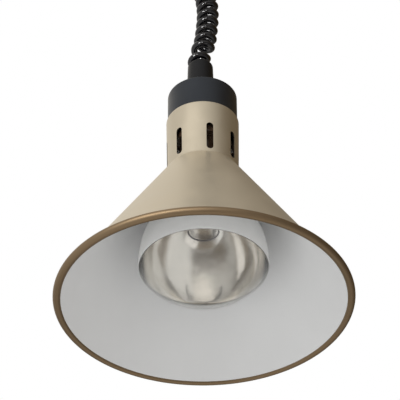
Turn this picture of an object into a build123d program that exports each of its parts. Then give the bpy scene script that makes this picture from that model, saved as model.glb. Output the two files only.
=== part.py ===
"""Pendant heat lamp: a spun shade with a reflector bulb, hung from a ceiling cup by a curly cord.

Everything is in millimetres. The ceiling is the plane Z = 0 and the lamp hangs below it on the Z axis.
The lamp itself is drawn with Z = 0 at its rim and is then moved down by RIM_DROP.
"""

import math
import os

from build123d import *

# ---------------------------------------------------------------- driving dimensions
RIM_DROP = 505.0            # ceiling to the centre of the rim's rolled bead

SHADE_RADIUS = 145.0        # outside of the bead
BEAD_RADIUS = 4.1
BEAD_WRAP = 310.0           # degrees that the edge is rolled through
SHEET = 1.0                 # spun sheet
CONE_ANGLE = 32.9           # between the cone's side and the axis
NECK_FOOT_Z = 156.5         # where the cone becomes the neck
NECK_FOOT_RADIUS = 36.0
NECK_TOP_Z = 221.0
NECK_TOP_RADIUS = 37.0
VENTS = 8
VENT_WIDTH = 7.0
VENT_LENGTH = 33.0
VENT_Z = 176.4
VENT_TURN = 11.4            # degrees from the front to the first vent
VENT_STEP = 44.0            # degrees between vents, so the gap after the last is a little wider

CAP_RADIUS = 35.5
CAP_TOP_Z = 255.3
CAP_WALL = 1.6
CAP_ROUND = 2.4
SLEEVE_FOOT_RADIUS = 14.2
SLEEVE_TOP_RADIUS = 13.0
SLEEVE_TOP_Z = 300.4
SLEEVE_ROUND = 3.8
SLEEVE_SHIFT = -1.8         # the sleeve sits a little to one side of the cap's centre
SLEEVE_MOUTH_RADIUS = 8.0   # its bore flares to this at the top, where the cord turns into its coil
SLEEVE_MOUTH_DEPTH = 8.0

NIPPLE_RADIUS = 5.0         # M10 x 1 hollow stud that clamps the lamp together
NIPPLE_BORE = 4.0
NIPPLE_FOOT_Z = 211.5
NIPPLE_TOP_Z = 267.0
NUT_FLATS = 14.0
NUT_THICKNESS = 4.0
CLEARANCE = 0.02            # between a nut or a collar and what it grips
COLLAR_RADIUS = 8.0
COLLAR_HEIGHT = 5.5
COLLAR_SCREW_RADIUS = 1.45

WIRE_RADIUS = 3.5           # the cord's own wire
CORE_RADIUS = 0.9
COIL_RADIUS = 11.9          # outside of the curly part
COIL_FOOT_Z = 301.4
COIL_TOP_Z = 428.0

BRACKET_SHEET = 1.5
BRACKET_HALF_WIDTH = 8.0
BRACKET_LEG_X = 23.0        # outside of the bracket's legs
HOLDER_TOP_Z = 195.0
HOLDER_FOOT_Z = 150.0
HOLDER_RADIUS = 23.5
HOLDER_FLANGE_RADIUS = 31.0
HOLDER_FLANGE = 8.0
HOLDER_SCREW_X = 27.0
HOLDER_MOUTH_RADIUS = 18.6
TERMINAL_Y = 11.0           # the two terminals on top of the lampholder
EARTH_Z = HOLDER_TOP_Z + 9.0
HOLDER_SHELL_RADIUS = 14.3
HOLDER_CAVITY_Z = 188.0     # roof of the socket's cavity

BULB_RADIUS = 63.4
BULB_WIDEST_Z = 38.0
BULB_DOME = 33.0            # height of the front dome
BULB_DOME_EDGE = 62.6
BULB_BACK = 88.0            # half height of the ellipse that the back follows
BULB_BACK_TURN = 63.0       # degrees of that ellipse
BULB_NECK_RADIUS = 18.0
BULB_GLASS = 1.2
CAP27_RADIUS = 13.1         # E27 thread crest
CAP27_ROOT = 12.2
CAP27_PITCH = 25.4 / 7
CAP27_FOOT_Z = 160.5
CAP27_TOP_Z = 181.5
CONTACT_TOP_Z = 187.0

CANOPY_RADIUS = 50.0
CANOPY_HEIGHT = 45.0
CANOPY_WALL = 1.2
GLAND_RADIUS = 14.0
GLAND_NECK_RADIUS = 8.0
GLAND_FOOT = -67.0          # rim of the gland's bell mouth
GLAND_TOP = -33.0
PIVOT_FRONT_BACK = -52.5    # the two places where the cord bends inside the bell mouth
PIVOT_SIDE = -60.2
CEILING_COLLAR_TOP = GLAND_TOP + 8.0
JACKET_TOP = CEILING_COLLAR_TOP + 2.0   # where the cord's jacket ends inside the cup
BAR_HALF_LENGTH = 47.2
BAR_WIDTH = 20.0
EAR_HEIGHT = 13.5
EAR_SCREW_Z = -8.5
SLOT_SPACING = 60.0
SLOT_LENGTH = 14.0
SLOT_RADIUS = 2.6
BLOCK = (30.0, 16.0, 14.0)  # terminal block

parts = {}


# ---------------------------------------------------------------- helpers
def spun(*lines):
    """Solid of revolution about Z. The lines make one closed outline of (radius, height) points."""
    outline = Wire([edge for line in lines for edge in line.edges()])
    return revolve(Plane.XZ * Face(outline), Axis.Z)


def turned(*points):
    """Solid of revolution about Z of a polygon of (radius, height) points."""
    return spun(Polyline(*points, close=True))


def tube(outer, inner, low, high):
    """Upright tube about Z, or a full cylinder where inner is 0."""
    return turned((inner, low), (outer, low), (outer, high), (inner, high))


def rod(start, end, radius):
    """Cylinder of that radius from one point to another."""
    axis = Vector(*end) - Vector(*start)
    return extrude(Plane(start, z_dir=axis) * Circle(radius), axis.length)


def block(low, high):
    """Box between two corners."""
    size = [b - a for a, b in zip(low, high)]
    return Pos(*[(a + b) / 2 for a, b in zip(low, high)]) * Box(*size)


def hex_nut(flats, bore, low, high):
    """Hexagonal nut about Z with two of its flats facing along X."""
    hexagon = RegularPolygon(flats / 2, 6, major_radius=False, rotation=30)
    return extrude(Pos(0, 0, low) * hexagon, high - low) - tube(bore, 0, low - 1, high + 1)


def arc_radii(points):
    """Corner radii for a route: each is 0.45 of its shorter run over the tangent of half its turn."""
    radii = []
    for before, here, after in zip(points, points[1:], points[2:]):
        run_in = Vector(*here) - Vector(*before)
        run_out = Vector(*after) - Vector(*here)
        half_turn = math.radians(run_in.get_angle(run_out)) / 2
        radii.append(0.45 * min(run_in.length, run_out.length) / math.tan(half_turn))
    return radii


def cord(points, radius):
    """Round tube along straight runs joined by tangent arcs."""
    radii = arc_radii(points)
    path = FilletPolyline(*points, radius=radii) if radii else Line(*points)
    print("radii", [round(r, 1) for r in radii], "length", round(path.length, 1))
    start = Plane(path @ 0, z_dir=path % 0)
    solid = sweep(start * Circle(radius), path=path)
    print("volume over section times length", round(solid.volume / (math.pi * radius**2 * path.length), 4))
    return solid


def hang(name, solid):
    """Keeps a piece of the lamp, moved from the rim's height to its place under the ceiling."""
    parts[name] = Pos(0, 0, -RIM_DROP) * solid


# ---------------------------------------------------------------- shade
def shade():
    """Neck with its top plate, cone and rolled edge, spun from one sheet."""
    lean = math.radians(CONE_ANGLE)
    along = Vector(math.sin(lean), -math.cos(lean))
    outward = Vector(math.cos(lean), math.sin(lean))
    bead = Vector(SHADE_RADIUS - BEAD_RADIUS, 0)
    foot = Vector(NECK_FOOT_RADIUS, NECK_FOOT_Z)
    roll_inside = BEAD_RADIUS - SHEET
    outside_end = bead - outward * roll_inside
    inside_end = bead - outward * BEAD_RADIUS
    hole = NIPPLE_RADIUS + 0.2
    corner_drop = SHEET * math.tan(lean / 2)
    outside = FilletPolyline(
        (hole, NECK_TOP_Z), (NECK_TOP_RADIUS, NECK_TOP_Z), foot, outside_end, radius=[1.8, 4.0]
    )
    inside = FilletPolyline(
        (hole, NECK_TOP_Z - SHEET),
        (NECK_TOP_RADIUS - SHEET, NECK_TOP_Z - SHEET),
        (NECK_FOOT_RADIUS - SHEET, NECK_FOOT_Z - corner_drop),
        inside_end,
        radius=[0.8, 5.0],
    )
    start = 180 + CONE_ANGLE
    roll_in = CenterArc(bead, roll_inside, start, BEAD_WRAP)
    roll_out = CenterArc(bead, BEAD_RADIUS, start, BEAD_WRAP)
    roll_end = Line(roll_in @ 1, roll_out @ 1)
    hole_wall = Line((hole, NECK_TOP_Z - SHEET), (hole, NECK_TOP_Z))
    body = spun(outside, roll_in, roll_end, roll_out, inside, hole_wall)
    past_wall = 5.0
    cutter = extrude(SlotOverall(VENT_LENGTH, VENT_WIDTH, 90), SHEET + 2 * past_wall)
    cutter = Rot(-90, 0, 0) * Pos(0, 0, -NECK_TOP_RADIUS - past_wall) * cutter
    for i in range(VENTS):
        turn = VENT_TURN + i * VENT_STEP
        body -= Pos(0, 0, VENT_Z) * Rot(0, 0, turn) * cutter
    return body


def top_cap():
    """Black cup that covers the top of the neck."""
    hole = NIPPLE_RADIUS + 0.2
    foot = (CAP_RADIUS, NECK_TOP_Z)
    outer = FilletPolyline(foot, (CAP_RADIUS, CAP_TOP_Z), (hole, CAP_TOP_Z), radius=CAP_ROUND)
    roof = CAP_TOP_Z - CAP_WALL
    inside = CAP_RADIUS - CAP_WALL
    inner = FilletPolyline(
        (inside, NECK_TOP_Z), (inside, roof), (hole, roof), radius=CAP_ROUND - CAP_WALL
    )
    return spun(outer, inner, Line(outer @ 0, inner @ 0), Line(outer @ 1, inner @ 1))


def cord_sleeve():
    """Tapered sleeve on top of the cap that the cord goes into, with a flared mouth."""
    bore = WIRE_RADIUS + 0.5
    socket = NIPPLE_RADIUS + 2.0
    socket_top = SLEEVE_TOP_Z - SLEEVE_MOUTH_DEPTH - 2.0
    outer = FilletPolyline(
        (SLEEVE_FOOT_RADIUS, CAP_TOP_Z),
        (SLEEVE_TOP_RADIUS, SLEEVE_TOP_Z),
        (SLEEVE_MOUTH_RADIUS, SLEEVE_TOP_Z),
        radius=SLEEVE_ROUND,
    )
    rest = Polyline(
        outer @ 1,
        (bore, SLEEVE_TOP_Z - SLEEVE_MOUTH_DEPTH),
        (bore, socket_top),
        (socket, socket_top),
        (socket, CAP_TOP_Z),
        outer @ 0,
    )
    return Pos(SLEEVE_SHIFT, 0, 0) * spun(outer, rest)


# ---------------------------------------------------------------- what holds the lamp together
def stud():
    """Hollow stud, its two nuts, and the collar on the cord that the lamp's weight rests on."""
    hang("hollow_stud", tube(NIPPLE_RADIUS, NIPPLE_BORE, NIPPLE_FOOT_Z, NIPPLE_TOP_Z))
    bore = NIPPLE_RADIUS + CLEARANCE
    hang("stud_top_nut", hex_nut(NUT_FLATS, bore, NECK_TOP_Z, NECK_TOP_Z + NUT_THICKNESS))
    bracket_z = NECK_TOP_Z - SHEET - BRACKET_SHEET
    hang("stud_bottom_nut", hex_nut(NUT_FLATS, bore, bracket_z - NUT_THICKNESS, bracket_z))
    screw_z = NIPPLE_FOOT_Z - COLLAR_HEIGHT / 2
    collar = tube(COLLAR_RADIUS, WIRE_RADIUS + CLEARANCE, NIPPLE_FOOT_Z - COLLAR_HEIGHT, NIPPLE_FOOT_Z)
    drilling = rod((-COLLAR_RADIUS - 2, 0, screw_z), (0, 0, screw_z), COLLAR_SCREW_RADIUS + 0.05)
    hang("cord_collar", collar - drilling)
    head_x = -COLLAR_RADIUS - 1
    screw = rod((head_x, 0, screw_z), (-WIRE_RADIUS - 0.05, 0, screw_z), COLLAR_SCREW_RADIUS)
    slot = block((head_x - 0.1, -1.0, screw_z - 0.25), (head_x + 0.7, 1.0, screw_z + 0.25))
    hang("cord_collar_screw", screw - slot)


def holder_bracket():
    """Strap under the neck's top plate that carries the lampholder on its two feet."""
    top = NECK_TOP_Z - SHEET
    low = top - BRACKET_SHEET
    foot_top = HOLDER_TOP_Z + BRACKET_SHEET
    half = BRACKET_HALF_WIDTH
    leg_inside = BRACKET_LEG_X - BRACKET_SHEET
    foot_end = HOLDER_FLANGE_RADIUS - 0.5
    strap = block((-BRACKET_LEG_X, -half, low), (BRACKET_LEG_X, half, top))
    for side in (-1, 1):
        near, far = sorted((side * leg_inside, side * BRACKET_LEG_X))
        strap += block((near, -half, HOLDER_TOP_Z), (far, half, top))
        near, far = sorted((side * leg_inside, side * foot_end))
        strap += block((near, -half, HOLDER_TOP_Z), (far, half, foot_top))
        screw_x = side * HOLDER_SCREW_X
        strap -= rod((screw_x, 0, HOLDER_TOP_Z - 1), (screw_x, 0, foot_top + 1), 2.1)
    strap -= tube(NIPPLE_RADIUS + 0.2, 0, low - 1, top + 1)
    strap -= rod((leg_inside - 1, 0, EARTH_Z), (BRACKET_LEG_X + 1, 0, EARTH_Z), 1.6)
    upright = strap.edges().filter_by(Axis.Z)
    return fillet(upright.filter_by(lambda edge: abs(edge.center().X) > foot_end - 0.5), 3.0)


def lampholder():
    """Glazed porcelain body with its screw shell, centre contact, terminals and fixing screws."""
    mouth_z = CAP27_FOOT_Z + 1.0
    flange_z = HOLDER_TOP_Z - HOLDER_FLANGE
    shell_bore = HOLDER_SHELL_RADIUS + 0.1
    body = turned(
        (0, HOLDER_TOP_Z),
        (HOLDER_FLANGE_RADIUS, HOLDER_TOP_Z),
        (HOLDER_FLANGE_RADIUS, flange_z),
        (HOLDER_RADIUS, flange_z),
        (HOLDER_RADIUS, HOLDER_FOOT_Z),
        (HOLDER_MOUTH_RADIUS, HOLDER_FOOT_Z),
        (HOLDER_MOUTH_RADIUS, mouth_z),
        (shell_bore, mouth_z),
        (shell_bore, HOLDER_CAVITY_Z),
        (0, HOLDER_CAVITY_Z),
    )
    rims = body.edges().filter_by(GeomType.CIRCLE).filter_by(lambda edge: edge.radius == HOLDER_RADIUS)
    body = fillet(rims.sort_by(Axis.Z)[0], 2.0)
    above = HOLDER_TOP_Z + 1
    body -= rod((0, 0, HOLDER_CAVITY_Z - 1), (0, 0, above), 2.05)
    for side in (-1, 1):
        screw_x = side * HOLDER_SCREW_X
        terminal_y = side * TERMINAL_Y
        body -= rod((screw_x, 0, flange_z - 2), (screw_x, 0, above), 2.1)
        body -= rod((0, terminal_y, HOLDER_CAVITY_Z - 1), (0, terminal_y, above), 1.55)
    hang("lampholder_body", body)

    shell_inside = HOLDER_SHELL_RADIUS - 0.85
    roof_hole = 9.0
    shell = turned(
        (shell_inside, mouth_z),
        (HOLDER_SHELL_RADIUS, mouth_z),
        (HOLDER_SHELL_RADIUS, HOLDER_CAVITY_Z),
        (roof_hole, HOLDER_CAVITY_Z),
        (roof_hole, HOLDER_CAVITY_Z - 0.8),
        (shell_inside, HOLDER_CAVITY_Z - 0.8),
    )
    hang("lampholder_screw_shell", shell)
    leaf_z = CONTACT_TOP_Z + 0.05
    leaf = tube(6.0, 0, leaf_z, leaf_z + 0.9)
    rivet = rod((0, 0, leaf_z + 0.5), (0, 0, HOLDER_TOP_Z + 0.6), 2.0)
    hang("lampholder_centre_contact", leaf + rivet)

    terminals = Part()
    screws = Part()
    nuts = Part()
    terminal_top = HOLDER_TOP_Z + 6
    foot_top = HOLDER_TOP_Z + BRACKET_SHEET
    for side in (-1, 1):
        y = side * TERMINAL_Y
        base = block((-3.5, y - 3, HOLDER_TOP_Z), (3.5, y + 3, terminal_top))
        stem = rod((0, y, HOLDER_CAVITY_Z), (0, y, HOLDER_TOP_Z + 1), 1.5)
        clamp = rod((2, y, HOLDER_TOP_Z + 3), (5.5, y, HOLDER_TOP_Z + 3), 2.0)
        terminals += base + stem + clamp
        x = side * HOLDER_SCREW_X
        head = rod((x, 0, foot_top), (x, 0, foot_top + 2.4), 3.5)
        head = fillet(head.edges().sort_by(Axis.Z)[-1], 1.2)
        screws += head + rod((x, 0, flange_z - 4), (x, 0, foot_top + 0.5), 2.0)
        nuts += Pos(x, 0, 0) * hex_nut(6.4, 2.0 + CLEARANCE, flange_z - 2.8, flange_z)
    hang("lampholder_terminals", terminals)
    hang("lampholder_screws", screws)
    hang("lampholder_nuts", nuts)


def lamp_wiring():
    """The cord's lower end inside the lamp and its three cores."""
    jacket_end = NIPPLE_FOOT_Z - COLLAR_HEIGHT - 1.5
    straight_end = NIPPLE_TOP_Z + 1.0
    bend_end = straight_end + 14.0
    route = [
        (0, 0, jacket_end),
        (0, 0, straight_end),
        (SLEEVE_SHIFT, 0, bend_end),
        (SLEEVE_SHIFT, 0, COIL_FOOT_Z),
    ]
    hang("lower_cord_tail", cord(route, WIRE_RADIUS))

    strands = 1.6           # the cores leave the jacket this far from its centre
    turn_z = HOLDER_TOP_Z + 7.6
    end_z = HOLDER_TOP_Z + 6
    lug_x = BRACKET_LEG_X - BRACKET_SHEET - 1.9
    cores = {
        "live_core": [(0, strands, jacket_end), (0, strands, turn_z), (0, TERMINAL_Y, turn_z)],
        "neutral_core": [(0, -strands, jacket_end), (0, -strands, turn_z), (0, -TERMINAL_Y, turn_z)],
        "earth_core": [(strands, 0, jacket_end), (strands, 0, EARTH_Z), (lug_x, 0, EARTH_Z)],
    }
    bends = {"live_core": 0.7, "neutral_core": 0.7, "earth_core": 0.45}
    for side, name in ((1, "live_core"), (-1, "neutral_core")):
        cores[name].append((0, side * TERMINAL_Y, end_z))
    for name, points in cores.items():
        path = FilletPolyline(*points, radius=bends[name])
        hang(name, sweep(Plane(path @ 0, z_dir=path % 0) * Circle(0.4), path=path))

    leg_inside = BRACKET_LEG_X - BRACKET_SHEET
    head = rod((lug_x, 0, EARTH_Z), (leg_inside, 0, EARTH_Z), 3.0)
    hang("earth_screw", head + rod((leg_inside - 0.5, 0, EARTH_Z), (BRACKET_LEG_X + 2.5, 0, EARTH_Z), 1.55))


# ---------------------------------------------------------------- bulb
def bulb_outline(inset):
    """Half section of the reflector bulb's glass, drawn in by inset from its outside."""
    edge = BULB_DOME_EDGE - inset
    ball = (BULB_DOME_EDGE**2 + BULB_DOME**2) / (2 * BULB_DOME) - inset
    centre_z = BULB_WIDEST_Z - BULB_DOME + ball + inset
    dome = CenterArc((0, centre_z), ball, -90, math.degrees(math.asin(edge / ball)))
    foot_z = BULB_WIDEST_Z + 3
    width = BULB_RADIUS - inset
    height = BULB_BACK - inset
    turns = [math.radians(BULB_BACK_TURN) * share for share in (0, 0.5, 1)]
    back = ThreePointArc(*[(width * math.cos(a), foot_z + height * math.sin(a)) for a in turns])
    shoulder = Line(dome @ 1, back @ 0)
    neck_radius = BULB_NECK_RADIUS - inset
    heading = back % 1
    swing = math.atan2(-heading.X, heading.Y)
    waist_radius = ((back @ 1).X - neck_radius) / (1 - math.cos(swing))
    neck_z = (back @ 1).Y + waist_radius * math.sin(swing)
    waist = TangentArc(back @ 1, (neck_radius, neck_z), tangent=heading)
    top_radius = CAP27_ROOT - 0.9 - inset
    top_z = CAP27_FOOT_Z + 2 - inset
    rest = Polyline(
        waist @ 1,
        (neck_radius - 1.2, CAP27_FOOT_Z - 6),
        (top_radius, CAP27_FOOT_Z - 0.4),
        (top_radius, top_z),
        (0, top_z),
        dome @ 0,
    )
    return dome, shoulder, back, waist, rest


def bulb_cap():
    """Screw cap, its insulator and the contact on top. The thread is drawn as rings of its section."""
    wall = 0.9
    thread_turns = 5
    thread_start = CAP27_FOOT_Z + 2.2
    outer = [(CAP27_ROOT, CAP27_FOOT_Z)]
    for i in range(thread_turns):
        z = thread_start + i * CAP27_PITCH
        outer += [
            (CAP27_ROOT, z),
            (CAP27_RADIUS, z + CAP27_PITCH / 2),
            (CAP27_ROOT, z + CAP27_PITCH * 0.98),
        ]
    top = CAP27_TOP_Z
    lip = CAP27_ROOT - 2.6
    cap = turned(
        *outer,
        (CAP27_ROOT, top),
        (CAP27_ROOT - 2, top + 0.8),
        (lip, top),
        (CAP27_ROOT - wall, top - 1),
        (CAP27_ROOT - wall, CAP27_FOOT_Z),
    )
    hang("bulb_screw_cap", cap)
    contact_foot = CONTACT_TOP_Z - 1.4
    insulator = turned(
        (0, top - 1.5),
        (lip - 0.6, top - 1.5),
        (lip - 0.2, top - 0.1),
        (lip + 0.3, top + 0.9),
        (5.6, contact_foot),
        (0, contact_foot),
    )
    hang("bulb_cap_insulator", insulator)
    button_radius = 4.8
    ball = (button_radius**2 + 1) / 2
    turn = math.degrees(math.asin(button_radius / ball))
    crown = CenterArc((0, CONTACT_TOP_Z - ball), ball, 90 - turn, turn)
    sides = Polyline(crown @ 1, (0, contact_foot), (button_radius, contact_foot), crown @ 0)
    hang("bulb_centre_contact", spun(crown, sides))


def bulb():
    """Reflector bulb: glass, filament with its supports, and the E27 cap with its contact."""
    hang("bulb_glass", spun(*bulb_outline(0)) - spun(*bulb_outline(BULB_GLASS)))
    bulb_cap()
    stem_top = CAP27_FOOT_Z + 0.7
    stem_foot = 118.0
    stem = turned(
        (0, stem_top),
        (9.6, stem_top),
        (9.6, stem_top - 3),
        (5.0, stem_top - 10),
        (3.6, stem_foot + 6),
        (2.4, stem_foot),
        (0, stem_foot),
    )
    hang("bulb_stem", stem)
    lead_foot = 84.0
    ring_radius = 15.0
    ring_wire = 0.9
    leads = Part()
    for side in (-1, 1):
        leads += rod((side * 1.2, 0, stem_foot + 0.4), (side * ring_radius, 0, lead_foot), 0.5)
    hang("bulb_lead_wires", leads)
    ring = Plane.XY.offset(lead_foot - ring_wire) * CenterArc((0, 0), ring_radius, 0, 180)
    hang("bulb_filament", sweep(Plane(ring @ 0, z_dir=ring % 0) * Circle(ring_wire), path=ring))


# ---------------------------------------------------------------- ceiling fitting
def ceiling_bracket():
    """Bar with two slots for the ceiling screws and an ear at each end for the cup's screws."""
    half = BAR_WIDTH / 2
    ear_inside = BAR_HALF_LENGTH - BRACKET_SHEET
    bar = block((-BAR_HALF_LENGTH, -half, -BRACKET_SHEET), (BAR_HALF_LENGTH, half, 0))
    for side in (-1, 1):
        near, far = sorted((side * ear_inside, side * BAR_HALF_LENGTH))
        bar += block((near, -half, -EAR_HEIGHT), (far, half, 0))
        past_ear = side * (BAR_HALF_LENGTH + 1)
        bar -= rod((side * (ear_inside - 1), 0, EAR_SCREW_Z), (past_ear, 0, EAR_SCREW_Z), 2.05)
        bar -= Pos(side * SLOT_SPACING / 2, 0, -3) * extrude(SlotOverall(SLOT_LENGTH, 2 * SLOT_RADIUS), 5)
    parts["ceiling_bracket"] = bar


def ceiling_cup():
    """Cup over the bracket, and the two screws in its side."""
    wall_in = CANOPY_RADIUS - CANOPY_WALL
    floor = CANOPY_WALL - CANOPY_HEIGHT
    hole = GLAND_NECK_RADIUS + 0.15
    corner = 6.0
    outer = FilletPolyline(
        (CANOPY_RADIUS, 0), (CANOPY_RADIUS, -CANOPY_HEIGHT), (hole, -CANOPY_HEIGHT), radius=corner
    )
    inner = FilletPolyline((wall_in, 0), (wall_in, floor), (hole, floor), radius=corner - CANOPY_WALL)
    cup = spun(outer, inner, Line(outer @ 0, inner @ 0), Line(outer @ 1, inner @ 1))
    screws = Part()
    for side in (-1, 1):
        inside = (side * (wall_in - 2), 0, EAR_SCREW_Z)
        cup -= rod(inside, (side * (CANOPY_RADIUS + 1), 0, EAR_SCREW_Z), 2.1)
        head_foot = CANOPY_RADIUS + CLEARANCE
        head = rod((side * head_foot, 0, EAR_SCREW_Z), (side * (head_foot + 2.2), 0, EAR_SCREW_Z), 3.6)
        tip = (side * (BAR_HALF_LENGTH - 4), 0, EAR_SCREW_Z)
        screws += head + rod(tip, (side * (head_foot + 0.5), 0, EAR_SCREW_Z), 2.0)
    parts["ceiling_cup"] = cup
    parts["ceiling_cup_screws"] = screws


def ceiling_gland():
    """Gland with a bell mouth, its nut, and the collar that holds the cord's jacket inside the cup."""
    bell_top = GLAND_FOOT + 20
    bore = WIRE_RADIUS + 0.5
    mouth = 11.5
    rise = bell_top - GLAND_FOOT
    bell_radius = (rise**2 + (mouth - bore) ** 2) / (2 * (mouth - bore))
    half_rise = rise / 2
    half_width = bore + bell_radius - math.sqrt(bell_radius**2 - half_rise**2)
    bell = ThreePointArc((bore, bell_top), (half_width, bell_top - half_rise), (mouth, GLAND_FOOT))
    outside = FilletPolyline(
        (mouth, GLAND_FOOT),
        (GLAND_RADIUS, GLAND_FOOT),
        (GLAND_RADIUS, -CANOPY_HEIGHT),
        (GLAND_NECK_RADIUS, -CANOPY_HEIGHT),
        (GLAND_NECK_RADIUS, GLAND_TOP),
        (bore, GLAND_TOP),
        radius=[1.2, 0, 0, 0],
    )
    parts["cord_gland"] = spun(bell, outside, Line((bore, GLAND_TOP), (bore, bell_top)))
    nut_foot = CANOPY_WALL - CANOPY_HEIGHT
    parts["cord_gland_nut"] = hex_nut(22.0, GLAND_NECK_RADIUS + CLEARANCE, nut_foot, nut_foot + 5)

    collar_radius = 8.5
    screw_z = (GLAND_TOP + CEILING_COLLAR_TOP) / 2
    collar = tube(collar_radius, WIRE_RADIUS + CLEARANCE, GLAND_TOP, CEILING_COLLAR_TOP)
    drilling = rod((0, -collar_radius - 2, screw_z), (0, 0, screw_z), COLLAR_SCREW_RADIUS + 0.05)
    parts["ceiling_cord_collar"] = collar - drilling
    head = (0, -collar_radius - 1, screw_z)
    parts["ceiling_collar_screw"] = rod(head, (0, -WIRE_RADIUS - 0.05, screw_z), COLLAR_SCREW_RADIUS)
    parts["ceiling_cord_end"] = tube(WIRE_RADIUS, 0, PIVOT_FRONT_BACK + WIRE_RADIUS, JACKET_TOP)


def terminals():
    """Terminal block under the bracket, its clamp screws, and the supply cord's three cores."""
    length, width, height = BLOCK
    top = -BRACKET_SHEET
    foot = top - height
    pitch = 9.0
    row = 5.0
    body = block((-length / 2, -width / 2, foot), (length / 2, width / 2, top))
    body = fillet(body.edges().filter_by(Axis.Z), 1.2)
    clamp_screws = Part()
    cores = Part()
    for i in (-1, 0, 1):
        for side in (-1, 1):
            spot = (i * pitch, side * row)
            body -= rod((*spot, foot - 1), (*spot, foot + 3.5), 1.9)
            clamp_screws += rod((*spot, foot + 0.5), (*spot, foot + 3.4), 1.8)
        start = (i * 1.9, 0, JACKET_TOP)
        if i:
            bend_low = (i * 1.9, 0, JACKET_TOP + 1.8)
            bend_high = (i * pitch, 0, foot - 1.8)
            path = FilletPolyline(start, bend_low, bend_high, (i * pitch, 0, foot), radius=1.0)
            cores += sweep(Plane(path @ 0, z_dir=path % 0) * Circle(CORE_RADIUS), path=path)
        else:
            cores += rod(start, (0, 0, foot), CORE_RADIUS)
    parts["terminal_block"] = body
    parts["terminal_block_screws"] = clamp_screws
    parts["ceiling_cores"] = cores


# ---------------------------------------------------------------- cord
def hanging_cord():
    """Two short links of cord that bend in the bell mouth, and the curly cord below them."""
    link = tube(WIRE_RADIUS, 0, PIVOT_SIDE + WIRE_RADIUS, PIVOT_FRONT_BACK)
    parts["cord_bend_link"] = link + Pos(0, 0, PIVOT_FRONT_BACK) * Sphere(WIRE_RADIUS)
    tail = tube(WIRE_RADIUS, 0, COIL_TOP_Z - RIM_DROP, PIVOT_SIDE)
    parts["upper_cord_tail"] = tail + Pos(0, 0, PIVOT_SIDE) * Sphere(WIRE_RADIUS)
    coil_route = [
        (-3.4, 0, COIL_FOOT_Z),
        (-3.4, 0, 306.8),
        (-1.2, 0, 316.0),
        (3.4, 0, 332.0),
        (5.2, 0, 350.0),
        (6.8, 0, 370.0),
        (5.8, 0, 390.0),
        (2.0, 0, 408.0),
        (0, 0, 418.5),
        (0, 0, COIL_TOP_Z),
    ]
    hang("curly_cord", cord(coil_route, COIL_RADIUS))


# ---------------------------------------------------------------- everything
hang("shade", shade())
hang("top_cap", top_cap())
hang("cord_sleeve", cord_sleeve())
stud()
hang("lampholder_bracket", holder_bracket())
lampholder()
lamp_wiring()
bulb()
ceiling_bracket()
ceiling_cup()
ceiling_gland()
terminals()
hanging_cord()

os.makedirs("parts", exist_ok=True)
for name, solid in parts.items():
    export_step(solid, f"parts/{name}.step")
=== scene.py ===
import math

import bmesh
import bpy
import numpy as np
from mathutils import Matrix, Vector


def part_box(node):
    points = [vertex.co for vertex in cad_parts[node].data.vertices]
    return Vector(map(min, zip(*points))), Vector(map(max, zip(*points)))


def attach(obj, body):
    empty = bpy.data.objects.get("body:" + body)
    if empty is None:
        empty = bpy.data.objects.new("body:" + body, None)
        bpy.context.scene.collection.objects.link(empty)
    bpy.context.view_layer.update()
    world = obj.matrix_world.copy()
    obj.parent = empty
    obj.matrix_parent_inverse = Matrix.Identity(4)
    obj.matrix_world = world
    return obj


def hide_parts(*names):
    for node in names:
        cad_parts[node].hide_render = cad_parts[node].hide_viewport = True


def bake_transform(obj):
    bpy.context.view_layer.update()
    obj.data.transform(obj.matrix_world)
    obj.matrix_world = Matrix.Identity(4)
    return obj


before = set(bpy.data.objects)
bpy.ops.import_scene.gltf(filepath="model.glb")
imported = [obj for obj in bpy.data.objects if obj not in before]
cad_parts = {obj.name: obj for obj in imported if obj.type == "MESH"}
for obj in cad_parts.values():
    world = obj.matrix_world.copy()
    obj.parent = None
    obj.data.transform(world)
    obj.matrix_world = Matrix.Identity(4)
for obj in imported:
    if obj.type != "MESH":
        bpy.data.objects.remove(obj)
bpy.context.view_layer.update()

MM = 0.001                  # outlines and routes are in millimetres, the scene is in metres

# The lamp's heights are measured up from the centre of the shade's rolled edge.
BEAD_RADIUS = 4.1
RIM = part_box("shade")[0].z / MM + BEAD_RADIUS
BEAD_CENTRE = 140.9
SHEET = 1.0
CONE_ANGLE = math.radians(32.9)
ROLL_START = 212.9          # degrees, where the cone's inside meets the roll
ROLL_TURN = 310.0
ROLL_TOP = 395.0            # and where its coat turns to a darker brown of painted shade, on the outer face
NECK_FOOT = (36.0, 156.5)
NECK_TOP = (37.0, 221.0)
STUD_HOLE = 5.2
VENTS = 8
VENT_WIDTH = 7.0
VENT_LENGTH = 33.0
VENT_HEIGHT = 176.4
VENT_TURN = 11.4            # degrees from the front to the first vent
VENT_STEP = 44.0            # degrees between vents
VENT_CORNER = math.radians(35)  # how far round its ends a vent's outline is cut into sides
VENT_LOOPS = (0.3, 0.56, 0.77, 0.91, 0.98, 1.0)   # the loops of faces from a sector's frame to its vent
BAND_LOW = 158.4            # the vented band of the neck lies between these heights
BAND_HIGH = 196.0
BAND_STEPS = 28
NECK_FOOT_ROUND = 4.0
NECK_TOP_ROUND = 1.8

CAP_RADIUS = 35.5
CAP_TOP = 255.3
CAP_WALL = 1.6
CAP_ROUND = 2.4
SLEEVE_SHIFT = -1.8
SLEEVE_FOOT_RADIUS = 14.2
SLEEVE_TOP = (13.0, 300.4)
SLEEVE_ROUND = 3.8
SLEEVE_MOUTH = 8.0
SLEEVE_MOUTH_DEPTH = 8.0
SOCKET_RADIUS = 7.0

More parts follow.
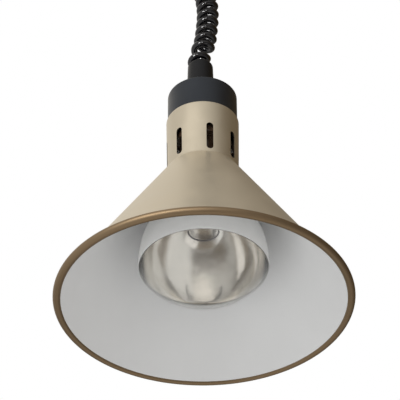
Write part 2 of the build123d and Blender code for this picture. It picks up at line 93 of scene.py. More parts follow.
DOME_FOOT = 5.0             # the front dome: its lowest point, the ball that it is cut from and its edge
DOME_BALL = 75.87
DOME_EDGE = 63.2
BACK_FOOT = 41.0            # the mirrored back: an ellipse from here, the bulb's widest place
BACK_RADIUS = 63.4
BACK_HEIGHT = 88.0
BACK_TURN = 63.0            # degrees of that ellipse
BULB_NECK = 18.0
BULB_SHOULDER = (16.8, 154.5)
BULB_END = (11.3, 160.1)
BULB_TOP = 162.5
BULB_GLASS = 1.2
HEAD_ON_MIRROR = 0.04       # the share of light that clear glass mirrors head on

WIRE_RADIUS = 3.5
COIL_RADIUS = 11.9

SEGMENTS = 256              # round the axis, and a multiple of the number of vents
SHARP = math.radians(35)    # an edge that turns by more than this is a crisp one


# ---------------------------------------------------------------- meshes
def arc(centre, radius, start, end, steps):
    """Points of an arc in the section plane, from one angle in degrees to another."""
    turns = [math.radians(start + (end - start) * i / steps) for i in range(steps + 1)]
    return [(centre[0] + radius * math.cos(a), centre[1] + radius * math.sin(a)) for a in turns]


def rounded(points, radii, steps=6, support=0.3):
    """The outline through points with each inner corner rounded, and a point close to each end of
    a rounding so that smooth shading doesn't spread over the flat beside it."""
    out = [points[0]]
    for before, here, after, radius in zip(points, points[1:], points[2:], radii):
        here = Vector(here)
        back, on = (Vector(before) - here), (Vector(after) - here)
        room_back, room_on = back.length, on.length
        back.normalize()
        on.normalize()
        if radius == 0:
            out.append(tuple(here))
            continue
        half = back.angle(on) / 2
        reach = radius / math.tan(half)
        centre = here + (back + on).normalized() * radius / math.sin(half)
        start, end = here + back * reach, here + on * reach
        if room_back > reach + 2 * support:
            out.append(tuple(start + back * support))
        first, last = start - centre, end - centre
        turn = first.angle_signed(last)
        for i in range(steps + 1):
            out.append(tuple(centre + Matrix.Rotation(-turn * i / steps, 2) @ first))
        if room_on > reach + 2 * support:
            out.append(tuple(end + on * support))
    return out + [points[-1]]


def new_object(name, vertices, faces, materials, face_materials=None):
    """A mesh object in the row frame from vertices in metres."""
    mesh = bpy.data.meshes.new(name)
    mesh.from_pydata([tuple(v) for v in vertices], [], faces)
    for material in materials:
        mesh.materials.append(material)
    if face_materials is not None:
        mesh.polygons.foreach_set("material_index", face_materials)
    made = bpy.data.objects.new(name, mesh)
    bpy.context.scene.collection.objects.link(made)
    bm = bmesh.new()
    bm.from_mesh(mesh)
    bmesh.ops.remove_doubles(bm, verts=bm.verts, dist=1e-7)
    bmesh.ops.recalc_face_normals(bm, faces=bm.faces)
    bm.to_mesh(mesh)
    bm.free()
    mesh.shade_smooth()
    mesh.set_sharp_from_angle(angle=SHARP)
    return made


class Turning:
    """Collects surfaces of revolution about one upright axis into one mesh. Angles run from the
    front, which is -Y, towards +X."""

    def __init__(self, x=0.0, base=RIM, start=0.0):
        self.vertices, self.faces, self.slots = [], [], []
        self.x = x
        self.base = base
        self.start = math.radians(start)

    def point(self, radius, angle, height):
        """Adds one point and returns its index."""
        across, along = radius * math.sin(angle), -radius * math.cos(angle)
        self.vertices.append(Vector((self.x + across, along, height + self.base)) * MM)
        return len(self.vertices) - 1

    def ring(self, radius, height, segments=SEGMENTS):
        """Adds a ring of points, or one point on the axis, and returns their indices."""
        if radius < 1e-6:
            return [self.point(0, 0, height)]
        step = 2 * math.pi / segments
        return [self.point(radius, self.start + i * step, height) for i in range(segments)]

    def join(self, one, two, slot=0):
        """Faces between two rings."""
        count = max(len(one), len(two))
        for i in range(count):
            j = (i + 1) % count
            if len(one) == 1:
                self.faces.append((one[0], two[i], two[j]))
            elif len(two) == 1:
                self.faces.append((one[i], two[0], one[j]))
            else:
                self.faces.append((one[i], two[i], two[j], one[j]))
            self.slots.append(slot)

    def profile(self, points, slot=0, first=None, last=None, segments=SEGMENTS):
        """Turns a line of (radius, height) points. first and last are rings to use for its ends."""
        before = first
        for i, point in enumerate(points):
            if i == 0 and first is not None:
                continue
            ring = last if i == len(points) - 1 and last is not None else self.ring(*point, segments)
            if before is not None:
                self.join(before, ring, slot)
            elif i == 0:
                first_ring = ring
            before = ring
        return (first or first_ring), before

    def make(self, name, materials):
        return new_object(name, self.vertices, self.faces, materials, self.slots)


# ---------------------------------------------------------------- materials
def node(tree, kind, **values):
    """A new node with some of its inputs and settings set."""
    made = tree.nodes.new(kind)
    for key, value in values.items():
        if key in made.inputs:
            made.inputs[key].default_value = value
        else:
            setattr(made, key, value)
    return made


def surface(name, colour, roughness, metallic=0.0, mottle=0.05, mottle_size=30.0, grain=0.02,
            grain_size=0.5, rough_spread=0.05, tint=None, **more):
    """A Principled material. Its colour drifts over mottle_size, its roughness with it, and a fine
    bump of grain millimetres has bumps of grain_size millimetres."""
    made = bpy.data.materials.new(name)
    made.use_nodes = True
    tree = made.node_tree
    shader = tree.nodes["Principled BSDF"]
    shader.inputs["Metallic"].default_value = metallic
    for key, value in more.items():
        shader.inputs[key.replace("_", " ")].default_value = value
    place = node(tree, "ShaderNodeTexCoord")
    slow = node(tree, "ShaderNodeTexNoise", Scale=1000 / mottle_size, Detail=5.0, Roughness=0.6)
    fine = node(tree, "ShaderNodeTexNoise", Scale=1000 / grain_size, Detail=3.0, Roughness=0.5)
    for texture in (slow, fine):
        tree.links.new(place.outputs["Object"], texture.inputs["Vector"])
    darker = [c * (1 - mottle) for c in colour]
    lighter = [min(1.0, c * (1 + mottle)) for c in (tint or colour)]
    ramp = node(tree, "ShaderNodeValToRGB")
    ramp.color_ramp.elements[0].position = 0.3
    ramp.color_ramp.elements[0].color = (*darker, 1)
    ramp.color_ramp.elements[1].position = 0.7
    ramp.color_ramp.elements[1].color = (*lighter, 1)
    tree.links.new(slow.outputs["Fac"], ramp.inputs["Fac"])
    tree.links.new(ramp.outputs["Color"], shader.inputs["Base Color"])
    spread = node(tree, "ShaderNodeMapRange")
    spread.inputs["From Min"].default_value = 0.3
    spread.inputs["From Max"].default_value = 0.7
    spread.inputs["To Min"].default_value = max(0.0, roughness - rough_spread)
    spread.inputs["To Max"].default_value = roughness + rough_spread
    tree.links.new(slow.outputs["Fac"], spread.inputs["Value"])
    tree.links.new(spread.outputs["Result"], shader.inputs["Roughness"])
    bump = node(tree, "ShaderNodeBump", Strength=1.0, Distance=grain * MM)
    tree.links.new(fine.outputs["Fac"], bump.inputs["Height"])
    tree.links.new(bump.outputs["Normal"], shader.inputs["Normal"])
    return made


def clear_glass():
    """Thin clear glass: light passes straight through and the surface mirrors by its angle."""
    made = bpy.data.materials.new("clear_glass")
    made.use_nodes = True
    tree = made.node_tree
    tree.nodes.remove(tree.nodes["Principled BSDF"])
    through = node(tree, "ShaderNodeBsdfTransparent", Color=(0.985, 0.985, 0.98, 1))
    gloss = node(tree, "ShaderNodeBsdfGlossy", Color=(1, 1, 1, 1), Roughness=0.03)
    facing = node(tree, "ShaderNodeLayerWeight", Blend=0.5)
    steep = node(tree, "ShaderNodeMath", operation="POWER")
    steep.inputs[1].default_value = 5.0
    share = node(tree, "ShaderNodeMath", operation="MULTIPLY_ADD")
    share.inputs[1].default_value = 1 - HEAD_ON_MIRROR
    share.inputs[2].default_value = HEAD_ON_MIRROR
    mix = node(tree, "ShaderNodeMixShader")
    tree.links.new(facing.outputs["Facing"], steep.inputs[0])
    tree.links.new(steep.outputs[0], share.inputs[0])
    tree.links.new(share.outputs[0], mix.inputs[0])
    tree.links.new(through.outputs["BSDF"], mix.inputs[1])
    tree.links.new(gloss.outputs["BSDF"], mix.inputs[2])
    tree.links.new(mix.outputs["Shader"], tree.nodes["Material Output"].inputs["Surface"])
    return made


champagne = surface("champagne_coat", (0.62, 0.55, 0.43), 0.4, 0.85, mottle=0.02, grain=0.004)
# The rolled edge's lower side is the champagne coat darkened to brown: painted shade, where the real edge
# is the same champagne in shadow.
shaded_edge_coat = surface("painted_shade_edge", (0.24, 0.17, 0.10), 0.5, 0.85, mottle=0.03, grain=0.004)
white_coat = surface("white_coat", (0.79, 0.79, 0.79), 0.4, mottle=0.015, mottle_size=60, grain=0.006)
# Near black inside the neck and on the vents' cut walls: painted shade, standing in for the dark seen
# through the vents.
neck_inside = surface("painted_shade_inside", (0.035, 0.026, 0.018), 0.6)
# Its reflections are tinted blue: a painted colour of light, standing in for the bluish light on the cap's
# highlights.
black_coat = surface("black_coat", (0.010, 0.0115, 0.0145), 0.36, mottle=0.08, grain=0.012,
                     Specular_Tint=(0.8, 0.88, 1.0, 1))
black_plastic = surface("black_plastic", (0.005, 0.0053, 0.0065), 0.4, mottle=0.08, grain=0.015,
                        Specular_IOR_Level=0.25)
black_enamel = surface("black_enamel", (0.017, 0.019, 0.024), 0.42, mottle=0.08, grain=0.015)
jacket = surface("cord_jacket", (0.003, 0.003, 0.0045), 0.12, mottle=0.1, grain=0.001,
                 grain_size=1.5, IOR=1.6)
zinc = surface("zinc_steel", (0.52, 0.52, 0.50), 0.35, 1.0, mottle=0.12, mottle_size=12)
brass = surface("brass", (0.62, 0.45, 0.2), 0.3, 1.0, mottle=0.08, mottle_size=8)
porcelain = surface("brown_porcelain", (0.06, 0.036, 0.022), 0.18, mottle=0.2, mottle_size=10)
mirror = surface("bulb_mirror", (0.92, 0.91, 0.89), 0.12, 1.0, mottle=0.03, mottle_size=40,
                 grain=0.6, grain_size=40.0, rough_spread=0.03)
bulb_back = surface("bulb_back", (0.84, 0.84, 0.83), 0.35, 0.0, mottle=0.03, mottle_size=25)
bulb_glass = clear_glass()
cap_metal = surface("bulb_cap_metal", (0.72, 0.71, 0.68), 0.3, 1.0, mottle=0.06, mottle_size=8)
insulator = surface("bulb_insulator", (0.01, 0.01, 0.014), 0.12)
wire_metal = surface("bulb_wire", (0.5, 0.49, 0.47), 0.25, 1.0)
tungsten = surface("tungsten", (0.22, 0.22, 0.24), 0.4, 1.0, grain=0.05, grain_size=0.6)
terminal_plastic = surface("terminal_plastic", (0.72, 0.71, 0.66), 0.4)
brown_core = surface("brown_core", (0.12, 0.045, 0.02), 0.35)
blue_core = surface("blue_core", (0.02, 0.08, 0.35), 0.35)
earth_core = surface("earth_core", (0.16, 0.38, 0.05), 0.35)


# ---------------------------------------------------------------- shade
def on_line(one, two, height):
    """The point at that height on the line through two points of a section."""
    share = (height - one[1]) / (two[1] - one[1])
    return one[0] + (two[0] - one[0]) * share, height


def vent_outline(across, up):
    """Points round one vent from its lower left, as many below it and up its side as the frame has."""
    half = VENT_WIDTH / 2
    straight = VENT_LENGTH / 2 - half
    bend = half * VENT_CORNER
    side = 2 * (bend + straight)
    points = []
    for i in range(across):
        turn = math.pi + VENT_CORNER + (math.pi - 2 * VENT_CORNER) * i / across
        points.append((half * math.cos(turn), half * math.sin(turn) - straight))
    for i in range(up):
        reach = side * i / up
        if reach < bend:
            turn = reach / half - VENT_CORNER
            points.append((half * math.cos(turn), half * math.sin(turn) - straight))
        elif reach < bend + 2 * straight:
            points.append((half, reach - bend - straight))
        else:
            turn = (reach - bend - 2 * straight) / half
            points.append((half * math.cos(turn), half * math.sin(turn) + straight))
    return points + [(-x, -y) for x, y in points]


def vented_band(turning, low, high, line, slot):
    """One skin of the neck between two rings. Each sector is loops of quads from its frame in to the
    edge of its vent. Returns the vents' edges."""
    across = SEGMENTS // VENTS
    sector = 2 * math.pi / VENTS
    steps = [BAND_LOW + (BAND_HIGH - BAND_LOW) * i / BAND_STEPS for i in range(BAND_STEPS + 1)]
    columns = []
    for k in range(VENTS):
        angle = turning.start + k * sector
        inner = [turning.point(on_line(*line, z)[0], angle, z) for z in steps[1:-1]]
        columns.append([low[k * across]] + inner + [high[k * across]])
    outline = vent_outline(across, BAND_STEPS)
    edges = []
    for k in range(VENTS):
        left, right = columns[k], columns[(k + 1) % VENTS]
        bottom = [low[k * across + i] for i in range(across)]
        top = [high[(k * across + across - i) % SEGMENTS] for i in range(across)]
        loop = bottom + right[:-1] + top + left[:0:-1]
        half = sector / 2
        spots = [(half * (2 * i / across - 1), BAND_LOW) for i in range(across)]
        spots += [(half, z) for z in steps[:-1]]
        spots += [(half * (1 - 2 * i / across), BAND_HIGH) for i in range(across)]
        spots += [(-half, z) for z in steps[:0:-1]]
        middle = turning.start + (k + 0.5) * sector
        aside = math.radians(VENT_TURN + k * VENT_STEP) - middle
        for share in VENT_LOOPS:
            ring = []
            for (angle, z), (x, y) in zip(spots, outline):
                vent_z = VENT_HEIGHT + y
                vent_angle = aside + math.asin(x / on_line(*line, vent_z)[0])
                here = z + (vent_z - z) * share
                turn = middle + angle + (vent_angle - angle) * share
                ring.append(turning.point(on_line(*line, here)[0], turn, here))
            turning.join(loop, ring, slot)
            loop = ring
        edges.append(loop)
    return edges


def shade():
    """Spun shade in one piece: top plate, vented neck, cone and rolled edge. Champagne outside, white
    inside, with painted shade: near black inside the neck and brown on the rolled edge's lower side."""
    outward = Vector((math.cos(CONE_ANGLE), math.sin(CONE_ANGLE)))
    bead = Vector((BEAD_CENTRE, 0))
    roll_inside = BEAD_RADIUS - SHEET
    outside_end = tuple(bead - outward * roll_inside)
    inside_end = tuple(bead - outward * BEAD_RADIUS)
    corner_drop = SHEET * math.tan(CONE_ANGLE / 2)
    foot_inside = (NECK_FOOT[0] - SHEET, NECK_FOOT[1] - corner_drop)
    top_inside = (NECK_TOP[0] - SHEET, NECK_TOP[1] - SHEET)
    skin, lining = (NECK_FOOT, NECK_TOP), (foot_inside, top_inside)
    roll_end = ROLL_START + ROLL_TURN
    roll_under = arc(bead, roll_inside, ROLL_START, roll_end, 40)
    roll_over = arc(bead, BEAD_RADIUS, roll_end, ROLL_TOP, 24)
    roll_face = arc(bead, BEAD_RADIUS, ROLL_TOP, ROLL_START, 32)
    outer, white, shaded_inside, edge = 0, 1, 2, 3

    spread = (VENTS - 1) * (VENT_STEP - 360 / VENTS)
    turning = Turning(start=VENT_TURN + spread / 2 - 180 / VENTS)
    top = [(STUD_HOLE, NECK_TOP[1]), NECK_TOP, on_line(*skin, BAND_HIGH)]
    top = rounded(top, [NECK_TOP_ROUND], steps=8)
    hole_top, high = turning.profile(top, outer)
    cone = rounded([on_line(*skin, BAND_LOW), NECK_FOOT, outside_end], [NECK_FOOT_ROUND], steps=8)
    low, roll = turning.profile(cone + roll_under[1:] + roll_over, outer)
    cone = [inside_end, foot_inside, on_line(*lining, BAND_LOW)]
    cone = rounded(cone, [NECK_FOOT_ROUND + SHEET], steps=8)
    # the roll's lower side in the brown of painted shade
    _, roll = turning.profile(roll_face, edge, first=roll)
    _, low_inside = turning.profile(cone, white, first=roll)
    top = [on_line(*lining, BAND_HIGH), top_inside, (STUD_HOLE, top_inside[1])]
    top = rounded(top, [NECK_TOP_ROUND - SHEET])
    high_inside, hole_foot = turning.profile(top, shaded_inside)
    turning.join(hole_foot, hole_top, shaded_inside)
    outer_edges = vented_band(turning, low, high, skin, outer)
    inner_edges = vented_band(turning, low_inside, high_inside, lining, shaded_inside)
    for one, two in zip(outer_edges, inner_edges):
        turning.join(one, two, shaded_inside)
    made = turning.make("shade_shell", [champagne, white_coat, neck_inside, shaded_edge_coat])
    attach(made, "lamp")
    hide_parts("shade")


shade()


# ---------------------------------------------------------------- cap and sleeve
def top_cap():
    """Black cup over the top of the neck."""
    foot = NECK_TOP[1]
    outer = [(CAP_RADIUS, foot), (CAP_RADIUS, CAP_TOP), (STUD_HOLE, CAP_TOP)]
    outer = rounded(outer, [CAP_ROUND], steps=8)
    roof = CAP_TOP - CAP_WALL
    wall = CAP_RADIUS - CAP_WALL
    inner = rounded([(STUD_HOLE, roof), (wall, roof), (wall, foot)], [CAP_ROUND - CAP_WALL])
    turning = Turning()
    first, last = turning.profile(outer)
    _, end = turning.profile([outer[-1]] + inner, first=last)
    turning.join(end, first)
    made = turning.make("top_cap_shell", [black_coat])
    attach(made, "lamp")
    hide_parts("top_cap")


def cord_sleeve():
    """Tapered sleeve with a flared mouth that the cord goes into."""
    radius, top = SLEEVE_TOP
    bore = WIRE_RADIUS + 0.5
    bore_top = top - SLEEVE_MOUTH_DEPTH
    socket_top = bore_top - 2.0
    outer = rounded(
        [(SLEEVE_FOOT_RADIUS, CAP_TOP), (radius, top), (SLEEVE_MOUTH, top)], [SLEEVE_ROUND], steps=10
    )
    inner = [(bore, bore_top), (bore, socket_top), (SOCKET_RADIUS, socket_top), (SOCKET_RADIUS, CAP_TOP)]
    turning = Turning(x=SLEEVE_SHIFT)
    first, last = turning.profile(outer)
    _, end = turning.profile([outer[-1]] + inner, first=last)
    turning.join(end, first)
    made = turning.make("cord_sleeve_shell", [black_plastic])
    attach(made, "lamp")
    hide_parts("cord_sleeve")


top_cap()
cord_sleeve()


# ---------------------------------------------------------------- bulb
def arc_through(a, b, c, steps=28):
    """Arc through three points, with its centre and radius."""
    squares = a.length_squared, b.length_squared, c.length_squared
    d = 2 * (a.x * (b.y - c.y) + b.x * (c.y - a.y) + c.x * (a.y - b.y))
    across = squares[0] * (b.y - c.y) + squares[1] * (c.y - a.y) + squares[2] * (a.y - b.y)
    up = squares[0] * (c.x - b.x) + squares[1] * (a.x - c.x) + squares[2] * (b.x - a.x)
    centre = Vector((across / d, up / d))
    radius = (a - centre).length
    start, end = (math.degrees(math.atan2(*(p - centre).yx)) for p in (a, c))
    return arc(centre, radius, start, end, steps), centre, radius


def bulb_section(inset):
    """The bulb's outline up to its neck, drawn in by inset: the front dome, the back, which is an arc
    through three points of an ellipse, and the waist that leads from it into the neck."""
    edge = DOME_EDGE - inset
    ball = DOME_BALL - inset
    dome_turn = math.degrees(math.asin(edge / ball))
    centre = DOME_FOOT + inset + ball
    dome = arc((0, centre), ball, -90, -90 + dome_turn, 28)
    dome[0] = (0.0, dome[0][1])
    width, height = BACK_RADIUS - inset, BACK_HEIGHT - inset
    half = math.radians(BACK_TURN / 2)
    points = [
        Vector((width * math.cos(t * half), BACK_FOOT + height * math.sin(t * half)))
        for t in (0, 1, 2)
    ]
    back, centre_back, _ = arc_through(*points)
    outward = (Vector(back[-1]) - centre_back).normalized()
    swing = math.atan2(outward.y, outward.x)
    neck = BULB_NECK - inset
    waist_radius = (back[-1][0] - neck) / (1 - math.cos(swing))
    neck_z = back[-1][1] + waist_radius * math.sin(swing)
    waist = arc((neck + waist_radius, neck_z), waist_radius, 180 + math.degrees(swing), 180, 12)
    return dome, back, waist


def bulb_envelope():
    """Reflector bulb: clear front, mirrored back."""
    turning = Turning()
    for inset, back_slot in ((0.0, 2), (BULB_GLASS, 1)):
        dome, back, waist = bulb_section(inset)
        shoulder = (BULB_SHOULDER[0] - inset, BULB_SHOULDER[1])
        end = (BULB_END[0] - inset, BULB_END[1])
        roof = BULB_TOP - inset
        top = [shoulder, end, (end[0], roof), (0.0, roof)]
        _, last = turning.profile(dome, 0)
        turning.profile([dome[-1]] + back + waist[1:] + top, back_slot, first=last)
    made = turning.make("bulb_envelope", [bulb_glass, mirror, bulb_back])
    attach(made, "bulb")
    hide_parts("bulb_glass")


bulb_envelope()


# ---------------------------------------------------------------- curly cord
CORD_ROUTE = [
    (0, 0, 444.8),
    (0, 0, 428.0),
    (0, 0, 418.5),
    (2.0, 0, 408.0),
    (5.8, 0, 390.0),
    (6.8, 0, 370.0),
    (5.2, 0, 350.0),
    (3.4, 0, 332.0),
    (-1.2, 0, 316.0),
    (-4.0, 0, 306.8),
    (-2.4, 0, 296.0),
    (-1.8, 0, 282.0),
    (0, 0, 268.0),
    (0, 0, 204.5),
]
COIL_TOP = 428.0
COIL_FOOT = 303.9           # the last turn lies on the sleeve from here
# The winding, from its top: turns, the height of the wire, and how far out the wire is, from 0 on the
# route to 1 on the winding. The last turn lies on the sleeve's top, and then the wire dips into its mouth.
WINDING = [
    (0.5, COIL_TOP, 0.0),
    (0.68, 424.5, 0.12),
    (0.86, 420.9, 0.45),
    (1.02, 418.2, 0.8),
    (1.2, 415.9, 1.0),
    (5.0, 372.7, 1.0),
    (6.0, 361.6, 1.0),
    (7.0, 350.2, 1.0),
    (8.0, 338.5, 1.0),
    (9.0, 327.8, 1.0),
    (10.0, 313.2, 1.0),
    (10.25, 307.6, 1.0),
    (10.5, COIL_FOOT, 1.0),
    (10.68, 303.6, 0.82),
    (10.88, 301.8, 0.58),
    (11.03, 298.4, 0.36),
    (11.2, 294.2, 0.15),
    (11.4, 289.0, 0.0),
]
RINGS_A_TURN = 36
RING_POINTS = 24


def centreline(points):
    """Points of the smooth line that a route makes, in metres, from its NURBS spline."""
    curve = bpy.data.curves.new("route", "CURVE")
    curve.dimensions = "3D"
    curve.resolution_u = 40
    spline = curve.splines.new("NURBS")
    spline.points.add(len(points) - 1)
    for point, (x, y, z) in zip(spline.points, points):
        point.co = (x * MM, y * MM, (z + RIM) * MM, 1)
    spline.order_u = 3
    spline.use_endpoint_u = True
    holder = bpy.data.objects.new("route", curve)
    bpy.context.scene.collection.objects.link(holder)
    mesh = bpy.data.meshes.new_from_object(holder)
    line = np.array([v.co for v in mesh.vertices])
    bpy.data.objects.remove(holder)
    bpy.data.curves.remove(curve)
    bpy.data.meshes.remove(mesh)
    return line


def evened(values, reach):
    """The values with each one averaged over its neighbours within reach."""
    padded = np.pad(values, reach, mode="edge")
    return np.convolve(padded, np.ones(2 * reach + 1) / (2 * reach + 1), "valid")


def curly_cord():
    """The cord from the gland down into the lamp: straight, wound, and straight again."""
    line = centreline(CORD_ROUTE)
    steps = np.linalg.norm(np.diff(line, axis=0), axis=1)
    along = np.concatenate([[0], np.cumsum(steps)])
    fall = -line[:, 2] / MM + RIM
    turns, levels, reaches = (np.array(column) for column in zip(*WINDING))
    count = int((turns[-1] - turns[0]) * RINGS_A_TURN)
    turn = np.linspace(turns[0], turns[-1], count)
    eased = RINGS_A_TURN // 9
    level = evened(np.interp(turn, turns, levels), eased)
    reach = evened(np.interp(turn, turns, reaches), eased)
    spots = np.interp(-level, fall, along)
    above = np.linspace(0, spots[0], 8)[:-1]
    below = np.linspace(spots[-1], along[-1], 40)[1:]
    spots = np.concatenate([above, spots, below])
    turn = np.concatenate([np.full(len(above), turn[0]), turn, np.full(len(below), turn[-1])])
    reach = np.concatenate([np.zeros(len(above)), reach, np.zeros(len(below))])
    middle = np.stack([np.interp(spots, along, line[:, i]) for i in range(3)], axis=1)
    offset = reach * (COIL_RADIUS - WIRE_RADIUS) * MM
    tangent = np.stack([np.gradient(line[:, i], along) for i in range(3)], axis=1)
    tangent = np.stack([np.interp(spots, along, tangent[:, i]) for i in range(3)], axis=1)
    tangent /= np.linalg.norm(tangent, axis=1)[:, None]
    side = np.cross(tangent, (0, 1, 0))
    side /= np.linalg.norm(side, axis=1)[:, None]
    front = np.cross(side, tangent)
    angle = -2 * math.pi * turn
    path = middle + offset[:, None] * (np.cos(angle)[:, None] * side + np.sin(angle)[:, None] * front)
    # round sections square to the path, carried along it without twist
    ways = np.gradient(path, axis=0)
    ways /= np.linalg.norm(ways, axis=1)[:, None]
    normal = Vector((1, 0, 0))
    vertices = []
    for point, axis in zip(path, ways):
        axis = Vector(axis)
        normal = (normal - axis * normal.dot(axis)).normalized()
        across = axis.cross(normal)
        for i in range(RING_POINTS):
            a = 2 * math.pi * i / RING_POINTS
            outward = normal * math.cos(a) + across * math.sin(a)
            vertices.append(Vector(point) + outward * WIRE_RADIUS * MM)
    faces = []
    rings = len(path)
    for r in range(rings - 1):
        for i in range(RING_POINTS):
            j = (i + 1) % RING_POINTS
            a, b = r * RING_POINTS, (r + 1) * RING_POINTS
            faces.append((a + i, a + j, b + j, b + i))
    faces.append(tuple(range(RING_POINTS)))
    faces.append(tuple(reversed(range((rings - 1) * RING_POINTS, rings * RING_POINTS))))
    made = new_object("curly_cord_wire", vertices, faces, [jacket])
    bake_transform(made)
    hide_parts("upper_cord_tail", "curly_cord", "lower_cord_tail")


curly_cord()

# ---------------------------------------------------------------- carried-over nodes
FINISHES = {
    zinc: ["ceiling_bracket", "ceiling_cup_screws", "ceiling_cord_collar", "ceiling_collar_screw",
           "hollow_stud", "stud_top_nut", "stud_bottom_nut", "cord_collar", "cord_collar_screw",
           "lampholder_bracket", "lampholder_screws", "lampholder_nuts"],
    black_enamel: ["ceiling_cup"],
    black_plastic: ["cord_gland", "cord_gland_nut"],
    jacket: ["ceiling_cord_end", "cord_bend_link"],
    terminal_plastic: ["terminal_block"],
    brass: ["terminal_block_screws", "lampholder_screw_shell", "lampholder_centre_contact",
            "lampholder_terminals", "earth_screw"],
    brown_core: ["ceiling_cores", "live_core"],
    blue_core: ["neutral_core"],
    earth_core: ["earth_core"],
    porcelain: ["lampholder_body"],
    cap_metal: ["bulb_centre_contact", "bulb_screw_cap"],
    insulator: ["bulb_cap_insulator"],
    bulb_glass: ["bulb_stem"],
    wire_metal: ["bulb_lead_wires"],
    tungsten: ["bulb_filament"],
}
for finish, names in FINISHES.items():
    for name in names:
        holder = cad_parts[name]
        for slot in holder.material_slots:
            slot.link = "OBJECT"
            slot.material = finish


# ---------------------------------------------------------------- studio
def area_light(name, place, target, size, power, colour=(1, 1, 1)):
    """A rectangular soft light that points at target and isn't seen by the camera."""
    data = bpy.data.lights.new(name, "AREA")
    data.shape = "RECTANGLE"
    data.size, data.size_y = size
    data.energy = power
    data.color = colour
    made = bpy.data.objects.new(name, data)
    made.location = place
    direction = Vector(target) - Vector(place)
    made.rotation_euler = direction.to_track_quat("-Z", "Y").to_euler()
    made.visible_camera = False
    bpy.context.scene.collection.objects.link(made)
    return made


def heading(azimuth, elevation):
    """Unit direction from degrees round from the front towards +X, and degrees up."""
    across, up = math.radians(azimuth), math.radians(elevation)
    return Vector((math.sin(across) * math.cos(up), -math.cos(across) * math.cos(up), math.sin(up)))


# Two rooms, each one tone with soft patches over it. A patch has an azimuth, an elevation, the angles
# from its centre at which it is full and gone, and a colour. The first room gives the diffuse light.
AMBIENT = (0.36, 0.36, 0.365)
CEILING = [(0, 90, 20, 100, (0.85, 0.85, 0.85))]
# The second is what surfaces mirror. Its patches are tuned to the bulb's reflections in the photograph.
ROOM = (0.47, 0.46, 0.44)
PATCHES = [
    (0, 90, 121, 127, (0.20, 0.19, 0.18)),
    (-80, 35, 50, 95, (0.62, 0.615, 0.61)),
    (0, 90, 45, 80, (0.64, 0.615, 0.57)),
    (180, 62, 30, 55, (0.85, 0.81, 0.74)),
    (112, 30, 25, 72, (0.12, 0.08, 0.03)),
    (0, -48, 25, 52, (0.22, 0.19, 0.155)),
    (-82, -30, 30, 56, (0.70, 0.69, 0.67)),
    (180, -72, 24, 38, (0.88, 0.84, 0.78)),
    (32, -35, 9, 18, (0.85, 0.82, 0.78)),
]
LAMP_MIDDLE = 120.0         # above the rim, where the lights point
FLOOR_HEIGHT = -4.6         # metres, as the rest of the studio is
FLOOR_HALF = 30.0
CAMERA_X = -0.0032
CAMERA_Y = -1.6824
CAMERA_BELOW_RIM = 1.1934
CAMERA_TILT = 128.03        # degrees
CAMERA_ROLL = -0.42
CAMERA_LENS = 193.55        # millimetres, on a sensor 36 wide


def room(tree, tone, patches):
    """A background of one tone with patches over it by direction."""
    place = node(tree, "ShaderNodeTexCoord")
    colour = node(tree, "ShaderNodeRGB")
    colour.outputs[0].default_value = (*tone, 1)
    last = colour.outputs[0]
    for azimuth, elevation, full, gone, patch_colour in patches:
        dot = node(tree, "ShaderNodeVectorMath", operation="DOT_PRODUCT")
        tree.links.new(place.outputs["Generated"], dot.inputs[0])
        dot.inputs[1].default_value = heading(azimuth, elevation)
        edge = node(tree, "ShaderNodeMapRange", interpolation_type="SMOOTHSTEP")
        edge.inputs["From Min"].default_value = math.cos(math.radians(gone))
        edge.inputs["From Max"].default_value = math.cos(math.radians(full))
        tree.links.new(dot.outputs["Value"], edge.inputs["Value"])
        mix = node(tree, "ShaderNodeMixRGB")
        mix.inputs[2].default_value = (*patch_colour, 1)
        tree.links.new(edge.outputs["Result"], mix.inputs[0])
        tree.links.new(last, mix.inputs[1])
        last = mix.outputs[0]
    background = node(tree, "ShaderNodeBackground", Strength=1.0)
    tree.links.new(last, background.inputs["Color"])
    return background


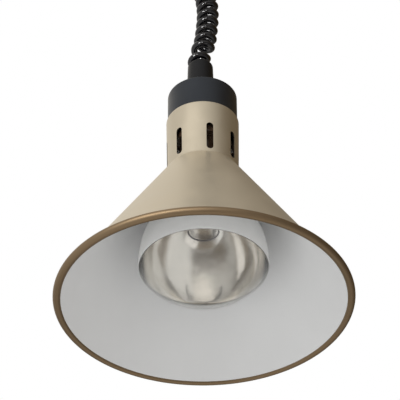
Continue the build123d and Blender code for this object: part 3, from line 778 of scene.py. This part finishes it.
def studio_world(scene):
    """The camera sees plain white, mirrored rays see the patched room, and the rest the plainer one."""
    world = bpy.data.worlds.new("studio")
    scene.world = world
    world.use_nodes = True
    tree = world.node_tree
    tree.nodes.clear()
    path = node(tree, "ShaderNodeLightPath")
    seen = node(tree, "ShaderNodeBackground", Color=(1, 1, 1, 1), Strength=1.0)
    mix = node(tree, "ShaderNodeMixShader")
    out = node(tree, "ShaderNodeOutputWorld")
    mirrored = node(tree, "ShaderNodeMixShader")
    tree.links.new(path.outputs["Is Glossy Ray"], mirrored.inputs[0])
    tree.links.new(room(tree, AMBIENT, CEILING).outputs[0], mirrored.inputs[1])
    tree.links.new(room(tree, ROOM, PATCHES).outputs[0], mirrored.inputs[2])
    tree.links.new(path.outputs["Is Camera Ray"], mix.inputs[0])
    tree.links.new(mirrored.outputs[0], mix.inputs[1])
    tree.links.new(seen.outputs[0], mix.inputs[2])
    tree.links.new(mix.outputs[0], out.inputs[0])


def studio():
    """The world, three soft lights, the floor and the camera."""
    scene = bpy.context.scene
    studio_world(scene)
    lamp = Vector((0, 0, (RIM + LAMP_MIDDLE) * MM))
    area_light("window", lamp + 2.2 * heading(-33, 3), lamp, (0.6, 0.35), 28)
    area_light("front", lamp + 2.4 * heading(-8, 6), lamp, (0.5, 0.22), 7)
    below = area_light(
        "below", lamp + 1.7 * heading(-55, -60), lamp, (2.2, 2.2), 8, (0.93, 0.97, 1.0)
    )
    below.visible_glossy = False

    floor = new_object(
        "studio_floor",
        [
            (x * FLOOR_HALF, y * FLOOR_HALF, FLOOR_HEIGHT)
            for x, y in ((-1, -1), (1, -1), (1, 1), (-1, 1))
        ],
        [(0, 1, 2, 3)],
        [surface("floor", (0.80, 0.79, 0.77), 0.7, mottle=0.02, mottle_size=300, grain=0.0)],
    )
    floor.visible_glossy = False

    camera = bpy.data.objects.new("camera", bpy.data.cameras.new("camera"))
    camera.data.lens = CAMERA_LENS
    camera.data.sensor_width = 36
    camera.data.clip_end = 50
    camera.matrix_world = (
        Matrix.Translation((CAMERA_X, CAMERA_Y, RIM * MM - CAMERA_BELOW_RIM))
        @ Matrix.Rotation(math.radians(CAMERA_TILT), 4, "X")
        @ Matrix.Rotation(math.radians(CAMERA_ROLL), 4, "Z")
    )
    scene.collection.objects.link(camera)
    scene.camera = camera
    scene.view_settings.view_transform = "Standard"


studio()
